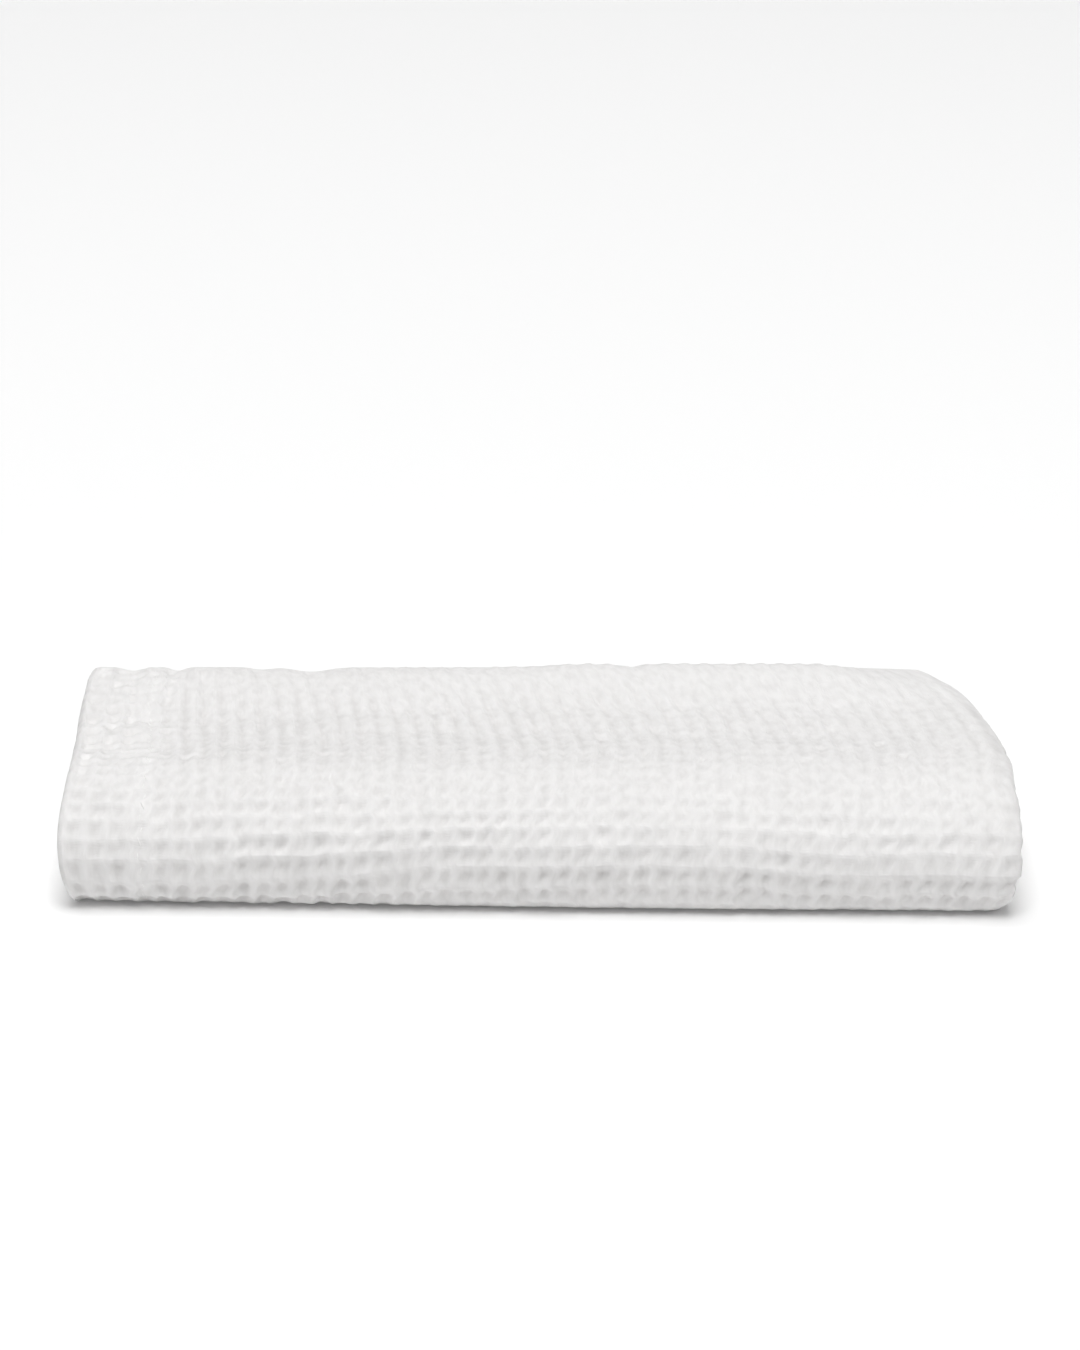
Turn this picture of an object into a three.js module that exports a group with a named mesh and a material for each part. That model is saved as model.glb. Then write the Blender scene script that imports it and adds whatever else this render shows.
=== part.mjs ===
// A linen guest towel in honeycomb weave, folded in half end to end and then in thirds across.
// Millimetres, +Z up. The towel rests on its flat underside at z = 0, centred on the Z axis. Its one big
// outer fold is at the front (-Y), its hemmed ends lie at the left (-X) and its soft end fold at the right (+X).
import * as THREE from "three";

// The flat cloth
const CLOTH_LENGTH = 500;
const CLOTH_WIDTH = 300;
const CLOTH_THICKNESS = 3;
const HEM_DEPTH = 20;
const HEM_EXTRA_THICKNESS = 1;
const HEM_STEP_LENGTH = 1.5;
const SEAM_GROOVE_DEPTH = 0.5;
const SEAM_GROOVE_REACH = 1.2;
const EDGE_ROUNDING = 0.8;
const LINEN_COLOUR = 0xebe9e6;
const LINEN_ROUGHNESS = 0.95;

// The folded package: the cloth folded in half is a pair of layers, and the pair is folded in thirds
const GAP_IN_PAIR = 2.4;
const GAP_BETWEEN_PAIRS = 3.6;
const HALF_PAIR = CLOTH_THICKNESS + GAP_IN_PAIR / 2;
const LAYER_OFFSET = (CLOTH_THICKNESS + GAP_IN_PAIR) / 2;
const FOLDED_DEPTH = 107;
const FOLDED_LENGTH = CLOTH_LENGTH / 2;
const END_FOLD_STEPS = 6;

// Turns are in degrees, clockwise seen from the right, and radii are of the pair's outer face
const BACK_TURN_RADIUS = HALF_PAIR + (2 * HALF_PAIR + GAP_BETWEEN_PAIRS) / 2;
const FRONT_LOW_RADIUS = 10.7;
const FRONT_LOW_TURN = 100;
const FRONT_FACE_RADIUS = 19.3;
const FRONT_FACE_TURN = 40;
const CROWN_RADIUS = 37;
const CROWN_TURN = 40;
const TUCKED_RUN = 16;
const TUCKED_SLOPE = 5;
const TUCKED_BEND_RADIUS = 60;
const TOP_RUN = 75.5;

// How the hand-folded towel departs from an even package. Centres and reaches are across it, from its middle,
// and a bow is how far a trough lies further back at BOW_MIDDLE than half a towel's length away from there.
const HEIGHT_CHANGES = [
  { place: "trough behind the crown", centre: 1, bow: 5, reach: 14, share: -0.06 },
  { place: "bowed trough in front of the ridge", centre: 16, bow: 8, reach: 7.5, share: -0.045 },
  { place: "ridge near the back", centre: 41, bow: 0, reach: 9, share: 0.038 },
  { place: "rounded back edge", centre: 57, bow: 0, reach: 7, share: -0.1 },
];
const BOW_MIDDLE = 31;
const RIGHT_FADE = 40;
const RIGHT_DROOP = { start: 86, share: 0.075 };
const FRONT_SKEW = 7;
const BACK_LEAN = { start: -15, power: 1.5, most: 13 };
const CORNER_PULL = { reach: 45, power: 8, left: 3, right: 6 };
const END_BULGE = { height: 20, most: 1.8, atFloor: -2.6, atTop: -0.7 };
const SELVEDGE_SHIFT = { from: 20, most: 4.5, reach: 40 };
const WAVES = [
  { along: 61, across: 90, phase: 0.4, height: 0.008, edge: 0.5 },
  { along: 34, across: 47, phase: 2.1, height: 0.006, edge: 0.35 },
];

const RADIANS = Math.PI / 180;

function arc(part, radius, degrees, steps) {
  return { part, length: radius * degrees * RADIANS, turn: degrees * RADIANS, steps };
}

function run(part, length, steps) {
  return { part, length, turn: 0, steps };
}

// The pair's middle line across the fold, from the tucked selvedge to the one that lies free on top
function foldSegments() {
  const tucked = [
    run("tucked edge", TUCKED_RUN, 2),
    arc("tucked bend", TUCKED_BEND_RADIUS, TUCKED_SLOPE, 1),
  ];
  const outer = [
    arc("back turn", BACK_TURN_RADIUS - HALF_PAIR, 180, 8),
    run("bottom layer", FOLDED_DEPTH - BACK_TURN_RADIUS - FRONT_LOW_RADIUS, 6),
    arc("front low turn", FRONT_LOW_RADIUS - HALF_PAIR, FRONT_LOW_TURN, 7),
    arc("front face", FRONT_FACE_RADIUS - HALF_PAIR, FRONT_FACE_TURN, 3),
    arc("crown", CROWN_RADIUS - HALF_PAIR, CROWN_TURN, 4),
    run("top layer", TOP_RUN, 19),
  ];
  const used = [...tucked, ...outer].reduce((sum, segment) => sum + segment.length, 0);
  return [...tucked, run("middle layer", CLOTH_WIDTH - used, 4), ...outer];
}

// The point and heading reached after a length of one segment
function advance(start, segment, length) {
  const heading = start.heading - (segment.turn * length) / segment.length;
  if (segment.turn === 0) {
    return {
      y: start.y + length * Math.cos(heading),
      z: start.z + length * Math.sin(heading),
      heading,
    };
  }
  const radius = segment.length / segment.turn;
  return {
    y: start.y + radius * (Math.sin(start.heading) - Math.sin(heading)),
    z: start.z + radius * (Math.cos(heading) - Math.cos(start.heading)),
    heading,
  };
}

// Where each segment starts, with the bottom layer on the floor and the front fold at -FOLDED_DEPTH / 2
function placedSegments(segments) {
  let at = { y: 0, z: 0, heading: TUCKED_SLOPE * RADIANS };
  let from = 0;
  const placed = segments.map((segment) => {
    const here = { ...segment, start: at, from };
    at = advance(at, segment, segment.length);
    from += segment.length;
    return here;
  });
  const low = placed.find((segment) => segment.part === "front low turn").start;
  const shiftY = -FOLDED_DEPTH / 2 + FRONT_LOW_RADIUS - low.y;
  const shiftZ = HALF_PAIR - low.z;
  for (const segment of placed) {
    segment.start = { ...segment.start, y: segment.start.y + shiftY, z: segment.start.z + shiftZ };
  }
  return placed;
}

const PATH = placedSegments(foldSegments());
const FULL_HEIGHT = PATH[PATH.length - 1].start.z + HALF_PAIR;

// The middle line at a distance from the tucked selvedge, running straight on past either end
function middleLine(distance) {
  let segment = PATH[0];
  for (const next of PATH) {
    if (distance >= next.from) {
      segment = next;
    }
  }
  return advance(segment.start, segment, distance - segment.from);
}

// Distances from the tucked selvedge at which the solid has a row of points
function rowDistances() {
  const rows = [0];
  for (const segment of PATH) {
    for (let step = 1; step <= segment.steps; step += 1) {
      rows.push(segment.from + (segment.length * step) / segment.steps);
    }
  }
  return rows;
}

// Distances from a hemmed end to the start of the end fold, closer together where the cloth droops
function columnDistances(straight) {
  const seam = [HEM_DEPTH - SEAM_GROOVE_REACH, HEM_DEPTH, HEM_DEPTH + SEAM_GROOVE_REACH];
  const field = [0.17, 0.27, 0.37, 0.47, 0.57, 0.67, 0.75, 0.81, 0.86, 0.9, 0.94, 0.97, 1];
  return [0, EDGE_ROUNDING, HEM_DEPTH / 2, ...seam, ...field.map((place) => place * straight)];
}

function share(value, start, end) {
  return THREE.MathUtils.clamp((value - start) / (end - start), 0, 1);
}

function smooth(value, start, end) {
  const t = share(value, start, end);
  return t * t * (3 - 2 * t);
}

function hill(distance, reach) {
  return Math.exp(-((distance / reach) ** 2));
}

// From the cloth's middle to its right side, which has the seam's groove
function rightSideDepth(fromEnd) {
  const groove = fromEnd === HEM_DEPTH ? SEAM_GROOVE_DEPTH : 0;
  return CLOTH_THICKNESS / 2 - Math.max(EDGE_ROUNDING - fromEnd, 0) - groove;
}

// From the cloth's middle to its wrong side, where the hem is turned in
function wrongSideDepth(fromEnd) {
  const hem = HEM_EXTRA_THICKNESS * (1 - smooth(fromEnd, HEM_DEPTH, HEM_DEPTH + HEM_STEP_LENGTH));
  return CLOTH_THICKNESS / 2 + hem - Math.max(EDGE_ROUNDING - fromEnd, 0);
}

// One loop round the cloth folded in half: on its right side from end to end, and back on its wrong side
function pairLoop() {
  const straight = (CLOTH_LENGTH - Math.PI * LAYER_OFFSET) / 2;
  const columns = columnDistances(straight);
  const endFold = Array.from({ length: END_FOLD_STEPS - 1 }, (_, step) => {
    const angle = (Math.PI * (step + 1)) / END_FOLD_STEPS;
    return {
      x: straight + LAYER_OFFSET * Math.sin(angle),
      n: LAYER_OFFSET * Math.cos(angle),
      angle,
      fromEnd: straight,
    };
  });
  const line = [
    ...columns.map((fromEnd) => ({ x: fromEnd, n: LAYER_OFFSET, angle: 0, fromEnd })),
    ...endFold,
    ...columns.toReversed().map((fromEnd) => ({ x: fromEnd, n: -LAYER_OFFSET, angle: Math.PI, fromEnd })),
  ];
  const offset = (point, depth) => ({
    x: point.x + depth * Math.sin(point.angle) - FOLDED_LENGTH / 2,
    n: point.n + depth * Math.cos(point.angle),
  });
  return [
    ...line.map((point) => offset(point, rightSideDepth(point.fromEnd))),
    ...line.toReversed().map((point) => offset(point, -wrongSideDepth(point.fromEnd))),
  ];
}

function waveAt(x, y, amount) {
  return WAVES.reduce(
    (sum, wave) =>
      sum + wave[amount] * Math.sin(x / wave.along + wave.phase) * Math.cos(y / wave.across + wave.phase),
    0,
  );
}

// How far both ends stand out at a height: most at the front fold's widest, less above and least below it
function endBulge(z) {
  const below = z < END_BULGE.height;
  const limit = below ? END_BULGE.atFloor : END_BULGE.atTop;
  const away = share(z, END_BULGE.height, below ? 0 : FULL_HEIGHT);
  return THREE.MathUtils.lerp(END_BULGE.most, limit, away ** 2);
}

// Where a point of the even package lies on the hand-folded towel. Heights only scale, so the underside
// stays flat and no two layers can meet.
function settle(x, y, z) {
  const toRight = x / FOLDED_LENGTH + 0.5;
  const toBack = share(y, BACK_LEAN.start, FOLDED_DEPTH / 2);
  const bow = 1 - ((2 * (x - BOW_MIDDLE)) / FOLDED_LENGTH) ** 2;
  const beforeEnd = smooth(x, FOLDED_LENGTH / 2, FOLDED_LENGTH / 2 - RIGHT_FADE);
  let height = 1 + waveAt(x, y, "height");
  for (const change of HEIGHT_CHANGES) {
    height += change.share * hill(y - change.centre - change.bow * bow, change.reach) * beforeEnd;
  }
  height -= RIGHT_DROOP.share * share(x, RIGHT_DROOP.start, FOLDED_LENGTH / 2) * toBack;

  const inner = FOLDED_LENGTH / 2 - CORNER_PULL.reach;
  const rightCorner = CORNER_PULL.right * smooth(x, inner, FOLDED_LENGTH / 2);
  const leftCorner = CORNER_PULL.left * smooth(-x, inner, FOLDED_LENGTH / 2);
  const corner = (leftCorner - rightCorner) * toBack ** CORNER_PULL.power;
  const lean = -BACK_LEAN.most * toRight * toBack ** BACK_LEAN.power;
  const bulge = endBulge(z) * (2 * toRight - 1) ** 5;
  const skew = FRONT_SKEW * (0.5 - toRight) * (0.5 - y / FOLDED_DEPTH);
  return new THREE.Vector3(
    x + bulge + lean + corner + waveAt(x, y, "edge"),
    y + skew + waveAt(y, x, "edge"),
    z * height,
  );
}

// Both selvedges lie further forward towards the hemmed end
function selvedgeShift(x, distance) {
  const nearSelvedge = 1 - smooth(Math.min(distance, CLOTH_WIDTH - distance), 0, SELVEDGE_SHIFT.reach);
  return SELVEDGE_SHIFT.most * smooth(x, SELVEDGE_SHIFT.from, -FOLDED_LENGTH / 2) * nearSelvedge;
}

function towelPoints(loop) {
  return rowDistances().flatMap((distance) =>
    loop.map(({ x, n }) => {
      const at = middleLine(distance - selvedgeShift(x, distance));
      return settle(x, at.y - n * Math.sin(at.heading), at.z + n * Math.cos(at.heading));
    }),
  );
}

function centred(points) {
  const box = new THREE.Box3().setFromPoints(points);
  const middle = box.getCenter(new THREE.Vector3()).setZ(box.min.z);
  return points.map((point) => point.clone().sub(middle));
}

// Quads between neighbouring rows all round the loop, and a closing strip at each selvedge
function towelFaces(loopSize, rowCount) {
  const faces = [];
  const quad = (a, b, c, d) => faces.push(a, b, c, a, c, d);
  for (let row = 0; row + 1 < rowCount; row += 1) {
    for (let column = 0; column < loopSize; column += 1) {
      const next = (column + 1) % loopSize;
      const near = row * loopSize;
      const far = near + loopSize;
      quad(near + column, near + next, far + next, far + column);
    }
  }
  const last = (rowCount - 1) * loopSize;
  for (let column = 0; column + 1 < loopSize / 2; column += 1) {
    const facing = loopSize - 1 - column;
    quad(column, facing, facing - 1, column + 1);
    quad(last + column, last + column + 1, last + facing - 1, last + facing);
  }
  return faces;
}

function makeTowel() {
  const loop = pairLoop();
  const points = towelPoints(loop);
  const geometry = new THREE.BufferGeometry().setFromPoints(centred(points));
  geometry.setIndex(towelFaces(loop.length, points.length / loop.length));
  geometry.computeVertexNormals();
  const linen = new THREE.MeshStandardMaterial({
    color: LINEN_COLOUR,
    roughness: LINEN_ROUGHNESS,
    metalness: 0,
  });
  const towel = new THREE.Mesh(geometry, linen);
  towel.name = "towel";
  return towel;
}

const group = new THREE.Group();
group.add(makeTowel());

export default group;
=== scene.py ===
"""Looks of a folded linen guest towel: honeycomb cloth with its cells in relief, and its hem stitches.

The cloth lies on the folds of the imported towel. Lengths are in metres in the part's own frame: X runs from
the hemmed ends to the soft end fold, Y from the big front fold to the back, and Z up.
"""

import logging
import math
from dataclasses import dataclass
from enum import Enum
from typing import NamedTuple

import bpy
import numpy as np
from mathutils import Matrix, Vector


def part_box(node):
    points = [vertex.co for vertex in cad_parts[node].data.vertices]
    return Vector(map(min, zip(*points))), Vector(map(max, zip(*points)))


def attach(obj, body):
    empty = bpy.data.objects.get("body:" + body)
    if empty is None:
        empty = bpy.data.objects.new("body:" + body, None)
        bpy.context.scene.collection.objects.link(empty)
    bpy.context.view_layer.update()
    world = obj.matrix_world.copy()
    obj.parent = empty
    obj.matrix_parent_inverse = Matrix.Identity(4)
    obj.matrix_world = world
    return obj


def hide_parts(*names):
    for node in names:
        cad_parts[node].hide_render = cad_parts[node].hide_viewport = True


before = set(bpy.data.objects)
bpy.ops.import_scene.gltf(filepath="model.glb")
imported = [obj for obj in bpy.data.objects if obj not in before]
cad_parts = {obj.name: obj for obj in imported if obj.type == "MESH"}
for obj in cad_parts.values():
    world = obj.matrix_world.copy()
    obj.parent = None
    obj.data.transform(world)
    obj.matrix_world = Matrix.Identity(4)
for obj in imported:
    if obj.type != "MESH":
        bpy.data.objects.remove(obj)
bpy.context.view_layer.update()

BODY = "root"
CAD_NODE = "towel"
WEAVE_MAP = "weave"
MODELLED = "modelled"
# Name of the numbers on the mesh that set the painted shade in the weave's recesses.
PAINTED_SHADE_ATTRIBUTE = "recess"

Values = float | np.ndarray
Colour = tuple[float, float, float]
Socket = bpy.types.NodeSocket
Filling = float | tuple[float, ...] | Socket
Inputs = dict[str | int, Filling]

logging.basicConfig(level=logging.INFO, format="%(name)s: %(message)s")
log = logging.getLogger("towel")


def share_of(value: Values, start: float, end: float) -> Values:
    """How far a value is on the way from start to end, held between 0 and 1."""
    return np.clip((value - start) / (end - start), 0.0, 1.0)


def eased(value: Values, start: float, end: float) -> Values:
    """The same share, easing in and out."""
    part = share_of(value, start, end)
    return part * part * (3.0 - 2.0 * part)


def blended(first: Values, second: Values, share: Values) -> Values:
    """A number that goes from the first to the second as the share goes from 0 to 1."""
    return first + (second - first) * share


def hill(distance: Values, reach: float) -> Values:
    """A soft bump of height 1 that has mostly died away at twice its reach."""
    return np.exp(-((distance / reach) ** 2))


def arched(share: Values) -> Values:
    """An arch over shares from 0 to 1, with height 1 in the middle and 0 at both ends."""
    return 1.0 - (2.0 * share - 1.0) ** 2


def underside_middle(low: np.ndarray, high: np.ndarray) -> np.ndarray:
    """Middle of the underside of the box between two corners."""
    return np.array([*((low + high) / 2)[:2], low[2]])


def lattice_noise(across_u: Values, across_w: Values, seed: int) -> np.ndarray:
    """Smooth noise from -1 to 1 with one random value at each whole-number place.

    Args:
        across_u: first coordinate of each place.
        across_w: second coordinate of each place, of a shape that broadcasts with the first.
        seed: picks the table of random values.

    Returns:
        The noise at each place.
    """
    table_size = 128
    table = np.random.default_rng(seed).uniform(-1.0, 1.0, (table_size, table_size))
    u, w = np.broadcast_arrays(across_u, across_w)
    cell_u, cell_w = np.floor(u).astype(int), np.floor(w).astype(int)
    part_u, part_w = eased(u - cell_u, 0.0, 1.0), eased(w - cell_w, 0.0, 1.0)

    def at(step_u: int, step_w: int) -> np.ndarray:
        """The table's value at a corner of each place's cell."""
        return table[(cell_u + step_u) % table_size, (cell_w + step_w) % table_size]

    near = blended(at(0, 0), at(1, 0), part_u)
    far = blended(at(0, 1), at(1, 1), part_u)
    return blended(near, far, part_w)


class CellDetail(Enum):
    """Where a cell of the weave has lines of points, as shares of the cell from its ridge."""

    FULL = (0.0, 0.17, 0.38, 0.62, 0.83)
    UNDERSIDE = (0.0, 0.2, 0.5, 0.8)
    HIDDEN = (0.0, 0.5)
    TURN = (0.0, 0.1, 0.2, 0.3, 0.4, 0.5, 0.6, 0.7, 0.8, 0.9)

    def lines(self, start: float, end: float, pitch: float, ridge: float) -> list[float]:
        """Places of the lines between two distances.

        Args:
            start: first distance, included.
            end: last distance, left out.
            pitch: size of one cell.
            ridge: distance of any one ridge.

        Returns:
            The places in order.
        """
        first = math.floor((start - ridge) / pitch)
        last = math.ceil((end - ridge) / pitch)
        places = [ridge + (cell + part) * pitch for cell in range(first, last + 1) for part in self.value]
        return [place for place in places if start <= place < end]


@dataclass(frozen=True)
class Cloth:
    """Sizes of the flat cloth, with its two turned hems and its thinner selvedges."""

    length: float = 0.5
    width: float = 0.3
    thickness: float = 0.003
    hem_depth: float = 0.02
    hem_extra: float = 0.001
    hem_step: float = 0.0015
    hem_nose: float = 0.0016
    groove_depth: float = 0.00018
    groove_reach: float = 0.0011
    selvedge_rounding: float = 0.0011
    selvedge_tip: float = 0.06
    selvedge_thinning: float = 0.25
    thinned_to: float = 0.00175
    full_from: float = 0.00525

    def from_hem(self, along: Values) -> Values:
        """Distance from the nearer hemmed end."""
        return np.minimum(along, self.length - along)

    def right_side(self, along: Values) -> Values:
        """Height of the right side over the cloth's middle, lower where the stitched line presses it in."""
        groove = hill(self.from_hem(along) - self.hem_depth, self.groove_reach)
        return self.thickness / 2 - self.groove_depth * groove

    def wrong_side(self, along: Values) -> Values:
        """Height of the wrong side, which is below the middle, and lower where the hem is turned in."""
        hem = 1.0 - eased(self.from_hem(along), self.hem_depth, self.hem_depth + self.hem_step)
        return -(self.thickness / 2 + self.hem_extra * hem)

    def selvedge_share(self, from_selvedge: Values) -> Values:
        """Share of the full thickness near a selvedge, which is thinner and has a rounded edge.

        Args:
            from_selvedge: distance from the nearer selvedge.

        Returns:
            The share at each place.
        """
        inside = np.clip(from_selvedge / self.selvedge_rounding, self.selvedge_tip, 1.0)
        rounded = np.sqrt(1.0 - (1.0 - inside) ** 2)
        thin = 1.0 - eased(from_selvedge, self.thinned_to, self.full_from)
        return rounded * (1.0 - self.selvedge_thinning * thin)


@dataclass(frozen=True)
class FoldStretch:
    """One stretch of the folded pair's middle line: a straight run, or an arc where it has a turn."""

    part: str
    length: float
    turn: float = 0.0


def arc(part: str, radius: float, degrees: float) -> FoldStretch:
    """A turn of a given radius, clockwise seen from the right end."""
    return FoldStretch(part, radius * math.radians(degrees), math.radians(degrees))


@dataclass(frozen=True)
class FoldSizes:
    """Sizes of the fold in thirds. Turns are in degrees.

    Radii are of the pair's outer face, but the tucked bend's is of its middle line.
    """

    gap_in_pair: float = 0.0024
    gap_between_pairs: float = 0.0036
    depth: float = 0.107
    back_turn: float = 180
    front_low_radius: float = 0.0107
    front_low_turn: float = 100
    front_face_radius: float = 0.0193
    front_face_turn: float = 40
    crown_radius: float = 0.037
    crown_turn: float = 40
    tucked_run: float = 0.016
    tucked_slope: float = 5
    tucked_bend_radius: float = 0.06
    top_run: float = 0.0755

    def half_pair(self, cloth: Cloth) -> float:
        """From the pair's middle line to its outer face."""
        return cloth.thickness + self.gap_in_pair / 2

    def layer_offset(self, cloth: Cloth) -> float:
        """From the pair's middle line to the middle of either layer."""
        return (cloth.thickness + self.gap_in_pair) / 2

    def stretches(self, cloth: Cloth) -> list[FoldStretch]:
        """The stretches of the pair's middle line.

        Args:
            cloth: sizes of the flat cloth.

        Returns:
            The stretches from the tucked selvedge to the one that lies free on top.
        """
        half = self.half_pair(cloth)
        back_radius = half + (2 * half + self.gap_between_pairs) / 2
        tucked = [
            FoldStretch("tucked edge", self.tucked_run),
            arc("tucked bend", self.tucked_bend_radius, self.tucked_slope),
        ]
        outer = [
            arc("back turn", back_radius - half, self.back_turn),
            FoldStretch("bottom layer", self.depth - back_radius - self.front_low_radius),
            arc("front low turn", self.front_low_radius - half, self.front_low_turn),
            arc("front face", self.front_face_radius - half, self.front_face_turn),
            arc("crown", self.crown_radius - half, self.crown_turn),
            FoldStretch("top layer", self.top_run),
        ]
        used = sum(stretch.length for stretch in tucked + outer)
        return [*tucked, FoldStretch("middle layer", cloth.width - used), *outer]


class FoldPath:
    """The folded pair's middle line across the towel, with the places of its stretches."""

    def __init__(self, fold: FoldSizes, cloth: Cloth) -> None:
        """Lays the stretches end to end, with the bottom layer on the floor.

        Args:
            fold: sizes of the fold.
            cloth: sizes of the flat cloth.
        """
        stretches = fold.stretches(cloth)
        self.parts = [stretch.part for stretch in stretches]
        self.lengths = np.array([stretch.length for stretch in stretches])
        self.turns = np.array([stretch.turn for stretch in stretches])
        self.starts = np.concatenate([[0.0], np.cumsum(self.lengths)])
        turned = np.concatenate([[0.0], np.cumsum(self.turns)])
        self.headings = math.radians(fold.tucked_slope) - turned
        self.across = self.starts + fold.layer_offset(cloth) * turned
        self.corner_y = np.zeros(len(stretches))
        self.corner_z = np.zeros(len(stretches))
        step_y, step_z, _ = self._moved(np.arange(len(stretches)), self.lengths)
        low = self.parts.index("front low turn")
        corners_y = np.concatenate([[0.0], np.cumsum(step_y)])
        corners_z = np.concatenate([[0.0], np.cumsum(step_z)])
        half = fold.half_pair(cloth)
        self.corner_y = corners_y[:-1] - corners_y[low] - fold.depth / 2 + fold.front_low_radius
        self.corner_z = corners_z[:-1] - corners_z[low] + half
        self.full_height = float(self.corner_z[-1]) + half

    def _moved(self, index: Values, length: Values) -> tuple[Values, Values, Values]:
        """Follows each stretch for a length from its own corner.

        Args:
            index: which stretch, at each place.
            length: how far along it.

        Returns:
            Y, Z and heading at each place.
        """
        start, turn = self.headings[index], self.turns[index]
        bends = turn != 0.0
        heading = start - turn * length / self.lengths[index]
        radius = self.lengths[index] / np.where(bends, turn, 1.0)
        y = np.where(bends, radius * (np.sin(start) - np.sin(heading)), length * np.cos(start))
        z = np.where(bends, radius * (np.cos(heading) - np.cos(start)), length * np.sin(start))
        return y + self.corner_y[index], z + self.corner_z[index], heading

    def locate(self, distance: Values) -> tuple[Values, Values, Values]:
        """Finds places on the middle line, which runs straight on past either end.

        Args:
            distance: distance from the tucked selvedge on the middle line.

        Returns:
            Y, Z and heading at each place.
        """
        last = len(self.lengths) - 1
        index = np.clip(np.searchsorted(self.starts, distance, side="right") - 1, 0, last)
        return self._moved(index, distance - self.starts[index])

    def distance_at(self, across: Values) -> Values:
        """Distance on the middle line from a distance across the outer layer, which turns wider."""
        return np.interp(across, self.across, self.starts)

    def across_start(self, part: str) -> float:
        """Where a stretch starts, as a distance across the outer layer."""
        return float(self.across[self.parts.index(part)])

    def from_selvedge(self, across: Values) -> Values:
        """Distance from the nearer selvedge."""
        return np.minimum(across, self.across_end - across)

    @property
    def across_end(self) -> float:
        """Width of the outer layer, from selvedge to selvedge."""
        return float(self.across[-1])


@dataclass(frozen=True)
class HeightChange:
    """A soft trough or ridge all along the towel, as a share of its height, that may bow to the back."""

    place: str
    centre: float
    bow: float
    reach: float
    share: float


@dataclass(frozen=True)
class Crease:
    """A short soft trough or ridge on the top, from one point to another, as a share of the height."""

    place: str
    start: tuple[float, float]
    end: tuple[float, float]
    reach: float
    share: float

    def at(self, x: Values, y: Values) -> Values:
        """How far the crease changes the height.

        Args:
            x: place along the package.
            y: place across the package.

        Returns:
            A share of the height at each place.
        """
        run_x, run_y = self.end[0] - self.start[0], self.end[1] - self.start[1]
        length = math.hypot(run_x, run_y)
        along = ((x - self.start[0]) * run_x + (y - self.start[1]) * run_y) / length
        aside = ((x - self.start[0]) * run_y - (y - self.start[1]) * run_x) / length
        beyond = np.maximum(np.maximum(-along, along - length), 0.0)
        return self.share * hill(aside, self.reach) * hill(beyond, self.reach)


@dataclass(frozen=True)
class Wave:
    """A slow wave over the whole towel, in height and in its edges."""

    along: float
    across: float
    phase: float
    height: float
    edge: float

    def at(self, x: Values, y: Values) -> Values:
        """The wave from -1 to 1."""
        return np.sin(x / self.along + self.phase) * np.cos(y / self.across + self.phase)


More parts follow.
